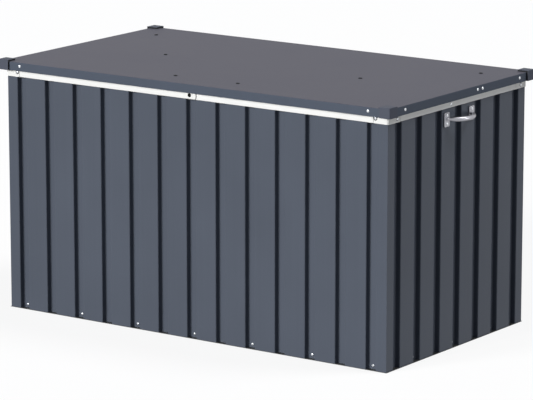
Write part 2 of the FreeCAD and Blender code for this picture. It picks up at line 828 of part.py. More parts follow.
nodes = {}
for side in SIDES:
    holes = body_screws + lower_hinge_screws
    nodes["wall_" + side] = drilled(wall(side), holes)
    nodes["base_rail_" + side] = drilled(base_rail(side), base_screws)
    nodes["top_rail_" + side] = drilled(top_rail(side), rail_screws + lower_hinge_screws)
nodes["wall_front"] = nodes["wall_front"].cut(lock_hole)
nodes["top_rail_front"] = nodes["top_rail_front"].cut(lock_hole)

for end, flip_x in (("right", False), ("left", True)):
    for face, flip_y in (("front", False), ("back", True)):
        corner_shapes = {"corner_post": corner_post(), "top_corner": top_corner(), "lid_cap": corner_cap()}
        for name, shape in corner_shapes.items():
            shape = mirrored_x(shape) if flip_x else shape
            shape = mirrored_y(shape) if flip_y else shape
            if name != "lid_cap":
                shape = drilled(shape, rail_screws)
            nodes[name + "_" + face + "_" + end] = shape

nodes["floor_right"] = floor_panel()
nodes["floor_left"] = mirrored_x(floor_panel())
nodes["floor_bearer"] = floor_bearer()

nodes["lid_panel"] = drilled(lid_panel(), flange_screws + top_screws + upper_hinge_screws)
nodes["lid_frame"] = drilled(lid_frame(), flange_screws + upper_hinge_screws)
nodes["lid_brace_right"] = drilled(lid_brace(), top_screws)
nodes["lid_brace_left"] = mirrored_x(nodes["lid_brace_right"])
nodes["lid_hook"] = lid_hook()
nodes["lid_buffers"] = lid_buffers()

lower_leaves = [drilled(lower_leaf(x), lower_hinge_screws) for x in hinge_centres]
upper_leaves = [drilled(upper_leaf(x), upper_hinge_screws) for x in hinge_centres]
pin_length = hinge_length + 2 * pin_overhang
pins = [rod((x - pin_length / 2, hinge_y, hinge_z), (1, 0, 0), pin_radius, pin_length) for x in hinge_centres]
nodes["hinge_lower_leaves"] = Part.makeCompound(lower_leaves)
nodes["hinge_upper_leaves"] = Part.makeCompound(upper_leaves)
nodes["hinge_pins"] = Part.makeCompound(pins)

nodes["lock_escutcheon"] = lock_escutcheon()
nodes["lock_housing"] = lock_housing()
nodes["lock_nut"] = lock_nut()
nodes["lock_barrel"] = lock_barrel()
nodes["lock_cam"] = lock_cam()
cam_back = (0, front_y + lock_end + rest_gap + cam_sheet, lock_z)
nodes["lock_cam_screw"] = screw(cam_back, (0, -1, 0), cam_shank_length)

nodes["handle_right"] = drilled(handle("right"), handle_screws)
nodes["handle_left"] = drilled(handle("left"), handle_screws)

right_strut = {
    "strut_tube": turned(strut_tube(), strut_angle, strut_foot_y, strut_foot_z),
    "strut_rod": turned(strut_rod(), strut_angle, strut_foot_y, strut_foot_z),
    "strut_foot_bracket": strut_foot(),
    "strut_head_bracket": drilled(strut_head(), flange_screws),
}
for name, shape in right_strut.items():
    nodes[name + "_right"] = shape
    nodes[name + "_left"] = mirrored_x(shape)

nodes["base_screws"] = screws(base_screws)
nodes["rail_screws"] = screws(rail_screws)
nodes["handle_screws"] = screws(handle_screws)
nodes["lid_top_screws"] = screws(top_screws, top_head_radius)
nodes["lid_flange_screws"] = screws(flange_screws)
nodes["hinge_lower_screws"] = screws(lower_hinge_screws)
nodes["hinge_upper_screws"] = screws(upper_hinge_screws)

# The strut's travel, for the record: how far it swings and lengthens as the lid opens
opening = math.radians(lid_opens_degrees)
arm_y, arm_z = strut_head_y - hinge_y, strut_head_z - hinge_z
open_y = hinge_y + arm_y * math.cos(opening) + arm_z * math.sin(opening)
open_z = hinge_z - arm_y * math.sin(opening) + arm_z * math.cos(opening)
open_angle = math.degrees(math.atan2(open_z - strut_foot_z, open_y - strut_foot_y))
open_length = math.hypot(open_y - strut_foot_y, open_z - strut_foot_z)
print("hinge axis y, z", hinge_y, hinge_z)
print("strut foot y, z", strut_foot_y, strut_foot_z, "line x", strut_x)
print("strut direction closed, open", strut_angle, open_angle, "length", strut_closed, open_length)

os.makedirs("parts", exist_ok=True)
for name, shape in nodes.items():
    shape.exportStep("parts/" + name + ".step")
    if not shape.isValid():
        print("not valid:", name)
print(len(nodes), "nodes")
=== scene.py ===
import bpy
import json
import math
from mathutils import Matrix, Vector

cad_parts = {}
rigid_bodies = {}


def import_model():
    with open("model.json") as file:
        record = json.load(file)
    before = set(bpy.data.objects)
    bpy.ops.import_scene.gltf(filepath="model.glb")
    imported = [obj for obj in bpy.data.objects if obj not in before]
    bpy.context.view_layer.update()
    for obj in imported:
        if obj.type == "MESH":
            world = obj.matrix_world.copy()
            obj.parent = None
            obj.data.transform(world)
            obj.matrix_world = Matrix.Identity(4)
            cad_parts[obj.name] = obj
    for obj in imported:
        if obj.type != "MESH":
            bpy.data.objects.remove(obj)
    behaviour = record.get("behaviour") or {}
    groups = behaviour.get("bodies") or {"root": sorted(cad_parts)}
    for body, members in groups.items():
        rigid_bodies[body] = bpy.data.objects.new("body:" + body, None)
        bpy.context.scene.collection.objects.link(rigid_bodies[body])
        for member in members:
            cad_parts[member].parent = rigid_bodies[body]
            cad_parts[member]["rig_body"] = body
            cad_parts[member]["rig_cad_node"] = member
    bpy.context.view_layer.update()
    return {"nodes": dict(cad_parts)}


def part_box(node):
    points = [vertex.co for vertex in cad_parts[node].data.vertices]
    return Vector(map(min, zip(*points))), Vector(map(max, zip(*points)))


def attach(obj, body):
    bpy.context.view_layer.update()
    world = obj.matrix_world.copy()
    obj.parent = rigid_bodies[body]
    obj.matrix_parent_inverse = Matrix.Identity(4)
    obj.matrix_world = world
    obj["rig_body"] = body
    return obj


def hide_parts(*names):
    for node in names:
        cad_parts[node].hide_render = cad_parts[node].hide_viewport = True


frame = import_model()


# The floor. A plain pale studio floor, matt, which keeps the box's soft shadow.
# It looks white to the camera without throwing that much light on the box.
def linear(colour):
    parts = [int(colour[i:i + 2], 16) / 255 for i in (0, 2, 4)]
    return [p / 12.92 if p <= 0.04045 else ((p + 0.055) / 1.055) ** 2.4 for p in parts] + [1]


def wire(material, node, inputs):
    for name, value in inputs.items():
        if isinstance(value, bpy.types.NodeSocket):
            material.node_tree.links.new(value, node.inputs[name])
        else:
            node.inputs[name].default_value = value
    return node


def add_node(material, kind, inputs={}, **settings):
    node = material.node_tree.nodes.new(kind)
    for name, value in settings.items():
        setattr(node, name, value)
    return wire(material, node, inputs)


def to_shader(material, **inputs):
    named = {key.replace("_", " "): value for key, value in inputs.items()}
    wire(material, material.node_tree.nodes["Principled BSDF"], named)


def finish(name, **inputs):
    material = bpy.data.materials.new(name)
    material.use_nodes = True
    to_shader(material, **inputs)
    return material


def seen_by_eye(owner):
    path = add_node(owner, "ShaderNodeLightPath")
    mirrored = add_node(owner, "ShaderNodeMath",
                        {0: path.outputs["Is Glossy Ray"], 1: path.outputs["Is Transmission Ray"]},
                        operation="MAXIMUM")
    seen = add_node(owner, "ShaderNodeMath",
                    {0: path.outputs["Is Camera Ray"], 1: mirrored.outputs[0]}, operation="MAXIMUM")
    return seen.outputs[0]


floor_reach = 60.0
floor_glow = 0.86

bpy.ops.object.select_all(action="DESELECT")
bpy.ops.mesh.primitive_plane_add(size=floor_reach)
floor = bpy.context.object
floor.name = "studio_floor"
matt_floor = finish("matt_studio_floor", Base_Color=linear("6e6e6e"), Roughness=1.0,
                    Specular_IOR_Level=0.0)
glow = add_node(matt_floor, "ShaderNodeMath", {0: seen_by_eye(matt_floor), 1: floor_glow},
                operation="MULTIPLY")
to_shader(matt_floor, Emission_Color=linear("ffffff"), Emission_Strength=glow.outputs[0])
floor.data.materials.append(matt_floor)


# The camera. It stands in front and to the right, a little above the lid, far
# off with a long lens, so that upright edges stay nearly parallel.
film_width = 36.0
lens_length = 233.13
camera_turn = math.radians(35.2493)
camera_rise = math.radians(12.1337)
camera_distance = 12.8407
camera_aside = 0.00882
camera_lift = 0.01237
aim = Vector((0, 0, 0.423))
far_clip = 200

back = Vector((math.sin(camera_turn) * math.cos(camera_rise),
               -math.cos(camera_turn) * math.cos(camera_rise), math.sin(camera_rise)))
right = Vector((math.cos(camera_turn), math.sin(camera_turn), 0))
above = back.cross(right)
bpy.ops.object.camera_add()
camera = bpy.context.object
camera.matrix_world = Matrix.Translation(
    aim + back * camera_distance + right * camera_aside + above * camera_lift
) @ Matrix((right, above, back)).transposed().to_4x4()
camera.data.sensor_width = film_width
camera.data.lens = lens_length
camera.data.clip_end = far_clip
bpy.context.scene.camera = camera


# Base rails, floor and corner posts. Galvanised sheet, folded to a Z, a swaged tray and an
# L; only the rails' lip shows under the walls. Dipping leaves a spangle of dull and bright
# crystals, 11 mm across, and the rails' foot is painted darker: painted shade under the walls.
mm = 0.001


def galvanised_steel(name):
    spangle = 11 * mm
    cloud = 111 * mm
    zinc = finish(name, Metallic=0.85)
    place = add_node(zinc, "ShaderNodeTexCoord")
    crystals = add_node(zinc, "ShaderNodeTexVoronoi",
                        {"Vector": place.outputs["Object"], "Scale": 1 / spangle})
    shade = add_node(zinc, "ShaderNodeValToRGB", {"Fac": crystals.outputs["Color"]})
    shade.color_ramp.elements[0].color = linear("8f959a")
    shade.color_ramp.elements[1].color = linear("bcc1c4")
    haze = add_node(zinc, "ShaderNodeTexNoise",
                    {"Vector": place.outputs["Object"], "Scale": 1 / cloud, "Detail": 4.0})
    rough = add_node(zinc, "ShaderNodeMapRange",
                     {"Value": haze.outputs["Fac"], "To Min": 0.34, "To Max": 0.58})
    grain = add_node(zinc, "ShaderNodeBump",
                     {"Height": crystals.outputs["Distance"], "Strength": 0.12,
                      "Distance": 0.1 * mm})
    to_shader(zinc, Base_Color=shade.outputs["Color"], Roughness=rough.outputs["Result"],
              Normal=grain.outputs["Normal"])
    return zinc


# Mixes a colour into the base colour by height, none at bare_z and the given share at full_share_z;
# it paints shade and reflection into the colour.
def painted_tone_by_height(material, bare_z, full_share_z, share, colour):
    bare = material.node_tree.nodes["Principled BSDF"].inputs["Base Color"].links[0].from_socket
    place = add_node(material, "ShaderNodeTexCoord")
    spot = add_node(material, "ShaderNodeSeparateXYZ", {"Vector": place.outputs["Object"]})
    tone_ramp = add_node(material, "ShaderNodeMapRange",
                    {"Value": spot.outputs["Z"], "From Min": bare_z, "From Max": full_share_z,
                     "To Max": share})
    tone_mixed = add_node(material, "ShaderNodeMix",
                       {0: tone_ramp.outputs["Result"], 6: bare, 7: linear(colour)}, data_type="RGBA")
    to_shader(material, Base_Color=tone_mixed.outputs[2])


def coat(names, material):
    for name in names:
        mesh = frame["nodes"][name].data
        mesh.materials.clear()
        mesh.materials.append(material)


# Painted shade: the rails are mixed towards 484745 below 12 mm, fully below 4 mm.
shade_fade_height = 12 * mm
full_shade_height = 4 * mm
foot_shade_share = 0.9
ends = ("left", "right")
faces = ("front", "back")
galvanised = galvanised_steel("galvanised_sheet_steel")
foot_shaded_zinc = galvanised_steel("foot_shaded_galvanised_sheet_steel")
painted_tone_by_height(foot_shaded_zinc, shade_fade_height, full_shade_height, foot_shade_share, "484745")
coat(["base_rail_" + side for side in faces + ends], foot_shaded_zinc)
coat(["floor_left", "floor_right", "floor_bearer"], galvanised)
coat(["corner_post_" + face + "_" + end for face in faces for end in ends], galvanised)


# Wall panels. Steel sheet of 0.7 mm, roll-formed with upright grooves and coil
# coated: a satin anthracite top coat with faint upright rolling streaks, and a
# pale grey backing coat inside. They stand on the base rails' lips.
def coil_coated_steel(name, colour, gloss=0.16, roughness=0.36, streak=7 * mm):
    cloud = 286 * mm
    streak_run = 833 * mm
    peel_size = 2.5 * mm
    paint = finish(name, Specular_IOR_Level=gloss)
    place = add_node(paint, "ShaderNodeTexCoord")
    stretch = add_node(paint, "ShaderNodeMapping",
                       {"Vector": place.outputs["Object"],
                        "Scale": (1 / streak, 1 / streak, 1 / streak_run)})
    streaks = add_node(paint, "ShaderNodeTexNoise",
                       {"Vector": stretch.outputs["Vector"], "Scale": 1.0, "Detail": 3.0})
    clouds = add_node(paint, "ShaderNodeTexNoise",
                      {"Vector": place.outputs["Object"], "Scale": 1 / cloud, "Detail": 2.0})
    mixed = add_node(paint, "ShaderNodeMix",
                     {0: 0.35, 2: clouds.outputs["Fac"], 3: streaks.outputs["Fac"]})
    shade = add_node(paint, "ShaderNodeValToRGB", {"Fac": mixed.outputs[0]})
    for stop, place_along, strength in zip(shade.color_ramp.elements, (0.25, 0.75), (0.93, 1.07)):
        stop.position = place_along
        stop.color = [c * strength for c in linear(colour)[:3]] + [1]
    rough = add_node(paint, "ShaderNodeMapRange",
                     {"Value": mixed.outputs[0], "To Min": roughness - 0.04,
                      "To Max": roughness + 0.04})
    peel = add_node(paint, "ShaderNodeTexNoise",
                    {"Vector": place.outputs["Object"], "Scale": 1 / peel_size})
    skin = add_node(paint, "ShaderNodeBump",
                    {"Height": peel.outputs["Fac"], "Strength": 0.08, "Distance": 0.1 * mm})
    to_shader(paint, Base_Color=shade.outputs["Color"], Roughness=rough.outputs["Result"],
              Normal=skin.outputs["Normal"])
    return paint


def only(piece):
    bpy.ops.object.select_all(action="DESELECT")
    piece.select_set(True)
    bpy.context.view_layer.objects.active = piece


def settled(name):
    piece = bpy.context.object
    piece.name = piece.data.name = name
    only(piece)
    bpy.ops.object.transform_apply(location=True, rotation=True, scale=True)
    return piece


def pick(piece, kind, wanted):
    only(piece)
    bpy.ops.object.mode_set(mode="EDIT")
    bpy.ops.mesh.select_mode(type=kind)
    bpy.ops.mesh.select_all(action="DESELECT")
    bpy.ops.object.mode_set(mode="OBJECT")
    mesh = piece.data
    if kind == "FACE":
        for face in mesh.polygons:
            face.select = wanted(face.center, face.normal)
    else:
        for edge in mesh.edges:
            edge.select = wanted(*[mesh.vertices[i].co for i in edge.vertices])
    bpy.ops.object.mode_set(mode="EDIT")


def done_editing():
    bpy.ops.object.mode_set(mode="OBJECT")


def modified(piece, kind, **settings):
    only(piece)
    modifier = piece.modifiers.new(kind.lower(), kind)
    for name, value in settings.items():
        setattr(modifier, name, value)
    bpy.ops.object.modifier_apply(modifier=modifier.name)


def smooth(piece, angle=30):
    only(piece)
    bpy.ops.object.shade_smooth_by_angle(angle=math.radians(angle))
    modified(piece, "WEIGHTED_NORMAL", keep_sharp=True)


def placed(piece, across, along, out, origin):
    turn = Matrix((across, along, out)).transposed().to_4x4()
    piece.matrix_world = Matrix.Translation(origin) @ turn
    only(piece)
    bpy.ops.object.transform_apply(location=True, rotation=True, scale=True)
    return piece


def worn_by(piece, *materials):
    piece.data.materials.clear()
    for material in materials:
        piece.data.materials.append(material)
    return piece


def folded(name, outline, run, sheet, bend, materials, steps=3, near=0.01 * mm):
    (x0, z0), (x1, z1) = outline[:2]
    length = math.hypot(x1 - x0, z1 - z0)
    bpy.ops.mesh.primitive_plane_add(size=1, location=((x0 + x1) / 2, run / 2, (z0 + z1) / 2),
                                     rotation=(0, -math.atan2(z1 - z0, x1 - x0), 0))
    bpy.context.object.scale = (length, run, 1)
    strip = settled(name)
    pick(strip, "EDGE", lambda a, b: all(math.hypot(p.x - x1, p.z - z1) < near for p in (a, b)))
    for (xa, za), (xb, zb) in zip(outline[1:], outline[2:]):
        bpy.ops.mesh.extrude_region_move(TRANSFORM_OT_translate={"value": (xb - xa, 0, zb - za)})
    done_editing()
    corners = outline[1:-1]

    def fold(a, b):
        at_a_corner = any(math.hypot(a.x - x, a.z - z) < near for x, z in corners)
        return abs(a.y - b.y) > run / 2 and at_a_corner

    pick(strip, "EDGE", fold)
    bpy.ops.mesh.bevel(offset=bend, segments=steps, affect="EDGES")
    done_editing()
    worn_by(strip, *materials)
    modified(strip, "SOLIDIFY", thickness=sheet, offset=-1, use_even_offset=True, material_offset=1)
    smooth(strip)
    return strip


UP = Vector((0, 0, 1))
wall_low, wall_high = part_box("wall_front")
half_length = wall_high.x
half_width = -wall_low.y
wall_sheet = 0.7 * mm
wall_bend = 3.2 * mm
rib_pitch = 130 * mm
groove_opening = 42 * mm
groove_floor = 33 * mm
groove_depth = 18 * mm
long_grooves, end_grooves = 13, 7
SIDES = {"front": (Vector((0, -1, 0)), half_width, half_length, long_grooves),
         "back": (Vector((0, 1, 0)), half_width, half_length, long_grooves),
         "left": (Vector((-1, 0, 0)), half_length, half_width - wall_sheet, end_grooves),
         "right": (Vector((1, 0, 0)), half_length, half_width - wall_sheet, end_grooves)}

anthracite = coil_coated_steel("coil_coated_anthracite_steel", "4c525d")
backing = coil_coated_steel("grey_backing_coat", "a9acae")
for side, (outward, distance, reach, grooves) in SIDES.items():
    outline = [(-reach, 0)]
    for i in range(grooves):
        x = (i - (grooves - 1) / 2) * rib_pitch
        outline += [(x - groove_opening / 2, 0), (x - groove_floor / 2, -groove_depth),
                    (x + groove_floor / 2, -groove_depth), (x + groove_opening / 2, 0)]
    outline.append((reach, 0))
    panel = folded("wall_panel_" + side, outline, wall_high.z - wall_low.z, wall_sheet, wall_bend,
                   (anthracite, backing))
    placed(panel, UP.cross(outward), UP, outward, outward * distance + UP * wall_low.z)
    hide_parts("wall_" + side)
    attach(panel, "root")


# Top rails. White painted steel folded to an upside-down U that clasps the wall's upper
# edge, with a lip turned in under its outer face. The paint has a soft sheen, faintly
# clouded, with a fine orange peel.
def white_painted_steel(name):
    cloud = 71.4 * mm
    peel_size = 2.5 * mm
    paint = finish(name, Specular_IOR_Level=0.3)
    place = add_node(paint, "ShaderNodeTexCoord")
    clouds = add_node(paint, "ShaderNodeTexNoise",
                      {"Vector": place.outputs["Object"], "Scale": 1 / cloud, "Detail": 5.0})
    shade = add_node(paint, "ShaderNodeValToRGB", {"Fac": clouds.outputs["Fac"]})
    shade.color_ramp.elements[0].color = linear("e2e2df")
    shade.color_ramp.elements[1].color = linear("eeeeec")
    rough = add_node(paint, "ShaderNodeMapRange",
                     {"Value": clouds.outputs["Fac"], "To Min": 0.3, "To Max": 0.42})
    peel = add_node(paint, "ShaderNodeTexNoise",
                    {"Vector": place.outputs["Object"], "Scale": 1 / peel_size})
    skin = add_node(paint, "ShaderNodeBump",
                    {"Height": peel.outputs["Fac"], "Strength": 0.06, "Distance": 0.1 * mm})
    to_shader(paint, Base_Color=shade.outputs["Color"], Roughness=rough.outputs["Result"],
              Normal=skin.outputs["Normal"])
    return paint


rail_sheet = 1.5 * mm
rail_proud = 4.5 * mm
rail_bend = 1.8 * mm
rail_back = groove_depth + wall_sheet + rail_sheet
rail_joint = 1.6 * mm
white_paint = white_painted_steel("white_painted_steel")
for side, (outward, distance, _, _) in SIDES.items():
    low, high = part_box("top_rail_" + side)
    run = max(high.x - low.x, high.y - low.y) - 2 * rail_joint
    outline = [(-rail_back, low.z), (-rail_back, high.z), (rail_proud, high.z),
               (rail_proud, low.z), (0, low.z)]
    rail = folded("white_top_rail_" + side, outline, run, rail_sheet, rail_bend,
                  (white_paint, white_paint))
    across = UP.cross(outward)
    placed(rail, outward, across, UP, outward * distance - across * run / 2)
    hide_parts("top_rail_" + side)
    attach(rail, "root")


# Corner pieces of the top rail. Moulded in white plastic with a dull sheen, with a rounded
# corner and tongues that push into the rails' ends; one screw holds each leg, inside a
# groove whose floor is given the black rubber: painted shade in the groove.
def moulded_plastic(name, colour, roughness, gloss):
    grain = 0.8 * mm  # the real pores, of about 0.2 mm, are too fine to show
    plastic = finish(name, Base_Color=linear(colour), Roughness=roughness, Specular_IOR_Level=gloss)
    place = add_node(plastic, "ShaderNodeTexCoord")
    pores = add_node(plastic, "ShaderNodeTexNoise",
                     {"Vector": place.outputs["Object"], "Scale": 1 / grain, "Detail": 2.0})
    skin = add_node(plastic, "ShaderNodeBump",
                    {"Height": pores.outputs["Fac"], "Strength": 0.15, "Distance": 0.1 * mm})
    to_shader(plastic, Normal=skin.outputs["Normal"])
    return plastic


def copied(original, name):
    piece = original.copy()
    piece.data = original.data.copy()
    piece.parent = None
    piece.name = piece.data.name = name
    bpy.context.scene.collection.objects.link(piece)
    return piece


def eased(node_name, name, edge):
    piece = copied(frame["nodes"][node_name], name)
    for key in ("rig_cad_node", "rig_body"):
        if key in piece:
            del piece[key]
    only(piece)
    bpy.ops.object.mode_set(mode="EDIT")
    bpy.ops.mesh.select_all(action="SELECT")
    bpy.ops.mesh.remove_doubles(threshold=0.001 * mm)
    bpy.ops.mesh.dissolve_limited(angle_limit=math.radians(1))
    done_editing()
    if piece.data.has_custom_normals:
        bpy.ops.mesh.customdata_custom_splitnormals_clear()
    modified(piece, "BEVEL", width=edge, segments=2, limit_method="ANGLE",
             angle_limit=math.radians(40))
    smooth(piece)
    return piece


def moulded_rubber(name):
    bloom_size = 3.33 * mm
    rubber = finish(name, Base_Color=linear("17181a"), Roughness=0.8, Specular_IOR_Level=0.3)
    place = add_node(rubber, "ShaderNodeTexCoord")
    bloom = add_node(rubber, "ShaderNodeTexNoise",
                     {"Vector": place.outputs["Object"], "Scale": 1 / bloom_size})
    skin = add_node(rubber, "ShaderNodeBump",
                    {"Height": bloom.outputs["Fac"], "Strength": 0.3, "Distance": 0.1 * mm})
    to_shader(rubber, Normal=skin.outputs["Normal"])
    return rubber


def turned(name, rings, sides=48, closed=False):
    height, radius = rings[0]
    bpy.ops.mesh.primitive_circle_add(vertices=sides, radius=radius, location=(0, 0, height))
    piece = settled(name)
    bpy.ops.object.mode_set(mode="EDIT")
    bpy.ops.mesh.select_all(action="SELECT")
    following = rings[1:] + rings[:1] if closed else rings[1:]
    for (z0, r0), (z1, r1) in zip(rings, following):
        bpy.ops.mesh.extrude_region_move(TRANSFORM_OT_translate={"value": (0, 0, z1 - z0)})
        bpy.ops.transform.resize(value=(r1 / r0, r1 / r0, 1), center_override=(0, 0, z1))
    bpy.ops.mesh.select_all(action="SELECT")
    bpy.ops.mesh.remove_doubles(threshold=0.001 * mm)
    if not closed:
        bpy.ops.mesh.fill_holes(sides=0)
    bpy.ops.mesh.normals_make_consistent(inside=False)
    done_editing()
    smooth(piece, 35)
    return piece


def cut(piece, cutter, operation="DIFFERENCE"):
    modified(piece, "BOOLEAN", object=cutter, operation=operation, solver="EXACT")
    bpy.data.objects.remove(cutter)
    return piece


def solids_of(node_name):
    only(copied(frame["nodes"][node_name], "solids"))
    bpy.ops.object.mode_set(mode="EDIT")
    bpy.ops.mesh.select_all(action="SELECT")
    bpy.ops.mesh.remove_doubles(threshold=0.001 * mm)
    bpy.ops.mesh.separate(type="LOOSE")
    done_editing()
    found = []
    for part in list(bpy.context.selected_objects):
        found.append([point.co.copy() for point in part.data.vertices])
        bpy.data.objects.remove(part)
    return found


head_radius = 5.5 * mm
head_height = 2.6 * mm
shank_radius = 2.1 * mm


def screw_places(node_name):
    places = []
    for points in solids_of(node_name):
        low = Vector([min(p[k] for p in points) for k in range(3)])
        high = Vector([max(p[k] for p in points) for k in range(3)])
        middle = (low + high) / 2
        for axis in range(3):
            for end, sign in ((low[axis], 1), (high[axis], -1)):
                others = [k for k in range(3) if k != axis]
                spread = max(math.hypot(*[p[k] - middle[k] for k in others])
                             for p in points if abs(p[axis] - end) < 0.01 * mm)
                if spread < 1.2 * shank_radius:
                    outward = Vector([sign if k == axis else 0 for k in range(3)])
                    length = high[axis] - low[axis] - head_height
                    seat = middle.copy()
                    seat[axis] = end + sign * length
                    places.append((seat, outward, length))
    return places


rubber = moulded_rubber("moulded_black_rubber")
ring_inner = 5.9 * mm
ring_outer = 8.2 * mm
ring_depth = 1.5 * mm
ring_sides = 44
corner_edge = 0.6 * mm
white_plastic = moulded_plastic("white_moulded_plastic", "e6e6e3", 0.38, 0.3)
rail_screw_places = screw_places("rail_screws")
for face in faces:
    for end in ends:
        node_name = "top_corner_" + face + "_" + end
        corner = eased(node_name, "white_corner_" + face + "_" + end, corner_edge)
        low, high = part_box(node_name)
        for seat, outward, _ in rail_screw_places:
            if all(low[k] - mm < seat[k] < high[k] + mm for k in range(3)):
                ring = turned("ring_mark", [
                    (-ring_depth, ring_inner), (mm, ring_inner),
                    (mm, ring_outer), (-ring_depth, ring_outer)],
                    sides=ring_sides, closed=True)
                across = outward.orthogonal().normalized()
                cut(corner, placed(ring, across, outward.cross(across), outward, seat))
        smooth(corner)
        worn_by(corner, white_plastic, rubber)
        # Painted shade: the ring groove's floor gets the black rubber.
        for seat, outward, _ in rail_screw_places:
            for part in corner.data.polygons:
                offset = part.center - seat
                at_ring_floor = abs(offset.dot(outward) + ring_depth) < 0.05 * mm
                if at_ring_floor and offset.length < ring_outer + mm:
                    part.material_index = 1
        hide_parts(node_name)
        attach(corner, "root")


# Cam lock. A white moulded plate, cut off at the rail's height, undercut behind its thin lip;
# the undercut's side is given the black rubber as painted shade. Housing and key barrel,
# lacquered a nearly matt black, are sunk in its hole and held by a nut; nut and cam are zinc
# plated, bright under a slight haze.
def block(name, low, high):
    low, high = Vector(low), Vector(high)
    bpy.ops.mesh.primitive_cube_add(size=1, location=(low + high) / 2)
    bpy.context.object.scale = high - low
    return settled(name)


def lacquered_metal(name, colour, roughness, gloss=0.5):
    haze_size = 4.55 * mm
    lacquer = finish(name, Base_Color=linear(colour), Specular_IOR_Level=gloss)
    place = add_node(lacquer, "ShaderNodeTexCoord")
    haze = add_node(lacquer, "ShaderNodeTexNoise",
                    {"Vector": place.outputs["Object"], "Scale": 1 / haze_size, "Detail": 4.0})
    rough = add_node(lacquer, "ShaderNodeMapRange",
                     {"Value": haze.outputs["Fac"], "To Min": roughness - 0.08,
                      "To Max": roughness + 0.08})
    skin = add_node(lacquer, "ShaderNodeBump",
                    {"Height": haze.outputs["Fac"], "Strength": 0.06, "Distance": 0.2 * mm})
    to_shader(lacquer, Roughness=rough.outputs["Result"], Normal=skin.outputs["Normal"])
    return lacquer


def zinc_plated(name, colour="c9ccd0", roughness=0.38):
    haze_size = 2.5 * mm
    plating = finish(name, Metallic=1.0, Base_Color=linear(colour))
    place = add_node(plating, "ShaderNodeTexCoord")
    haze = add_node(plating, "ShaderNodeTexNoise",
                    {"Vector": place.outputs["Object"], "Scale": 1 / haze_size, "Detail": 4.0})
    rough = add_node(plating, "ShaderNodeMapRange",
                     {"Value": haze.outputs["Fac"], "To Min": roughness - 0.08,
                      "To Max": roughness + 0.1})
    skin = add_node(plating, "ShaderNodeBump",
                    {"Height": haze.outputs["Fac"], "Strength": 0.1, "Distance": 0.1 * mm})
    to_shader(plating, Roughness=rough.outputs["Result"], Normal=skin.outputs["Normal"])
    return plating


low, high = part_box("lock_escutcheon")
lock_z = (low.z + high.z) / 2
plate_radius = high.x
plate_sheet = high.y - low.y
plate_lip = 0.9 * mm
plate_undercut = 0.6 * mm
hole_radius = 7.4 * mm
sink = 1.5 * mm
_, barrel_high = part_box("lock_barrel")
_, housing_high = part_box("lock_housing")
barrel_radius = barrel_high.x
housing_radius = 8 * mm
bore_radius = housing_radius + 0.2 * mm
lock_axes = (Vector((1, 0, 0)), Vector((0, 0, -1)), Vector((0, 1, 0)))

for name in ("white_top_rail_front", "wall_panel_front"):
    drilled = bpy.data.objects[name]
    bit = turned("lock_bore", [(-mm, bore_radius), (rail_back + 2 * rail_proud, bore_radius)])
    cut(drilled, placed(bit, *lock_axes, (0, high.y, lock_z)))
    smooth(drilled)

plate = turned("lock_plate", [
    (0, plate_radius - 1.0 * mm), (0.3 * mm, plate_radius - 0.3 * mm), (0.8 * mm, plate_radius),
    (plate_lip, plate_radius), (plate_lip, plate_radius - plate_undercut),
    (plate_sheet, plate_radius - plate_undercut), (plate_sheet, hole_radius),
    (0.4 * mm, hole_radius), (0, hole_radius + 0.4 * mm)],
    sides=128, closed=True)
placed(plate, *lock_axes, (0, low.y, lock_z))
for edge, side in ((low.z, -1), (high.z, 1)):
    only(plate)
    bpy.ops.object.mode_set(mode="EDIT")
    bpy.ops.mesh.select_all(action="SELECT")
    bpy.ops.mesh.bisect(plane_co=(0, 0, edge), plane_no=(0, 0, side), use_fill=True,
                        clear_outer=True)
    done_editing()
modified(plate, "BEVEL", width=0.3 * mm, segments=2, limit_method="ANGLE",
         angle_limit=math.radians(50))
smooth(plate, 35)
worn_by(plate, white_plastic, rubber)
# Painted shade: the undercut's side faces get the black rubber.
for part in plate.data.polygons:
    from_axis = math.hypot(part.center.x, part.center.z - lock_z)
    on_shaded_undercut = abs(from_axis - plate_radius + plate_undercut) < 0.1 * mm
    if on_shaded_undercut and abs(part.normal.y) < 0.1:
        part.material_index = 1
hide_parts("lock_escutcheon")
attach(plate, "root")

black_lacquer = lacquered_metal("black_lacquered_zinc", "060607", 0.4, 0.12)
face_y = low.y + sink
depth = housing_high.y - face_y
plate_back = high.y - face_y
housing = turned("lock_housing_black", [
    (0.4 * mm, barrel_radius), (0, barrel_radius + 0.4 * mm), (0, hole_radius - 0.1 * mm),
    (plate_back, hole_radius - 0.1 * mm), (plate_back, housing_radius), (depth, housing_radius),
    (depth, barrel_radius)], sides=64, closed=True)
placed(housing, *lock_axes, (0, face_y, lock_z))
worn_by(housing, black_lacquer)
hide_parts("lock_housing")
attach(housing, "root")

slot_width = 1.6 * mm
slot_height = 7 * mm
slot_depth = 8 * mm
half_drive = 3.5 * mm
drive_start = depth + 0.3 * mm
barrel = turned("lock_key_barrel", [
    (0.9 * mm, 4.4 * mm), (0.5 * mm, 4.7 * mm), (0.5 * mm, barrel_radius - 0.5 * mm),
    (0.9 * mm, barrel_radius - 0.1 * mm), (drive_start, barrel_radius - 0.1 * mm)],
    sides=64)
placed(barrel, *lock_axes, (0, face_y, lock_z))
keyway = block("keyway", (-slot_width / 2, face_y - mm, lock_z - slot_height / 2),
               (slot_width / 2, face_y + slot_depth, lock_z + slot_height / 2))
cut(barrel, keyway)
square = block("square_drive", (-half_drive, face_y + drive_start - 2 * mm, lock_z - half_drive),
               (half_drive, barrel_high.y, lock_z + half_drive))
cut(barrel, square, "UNION")
worn_by(barrel, black_lacquer)
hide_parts("lock_barrel")
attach(barrel, "lock_barrel")

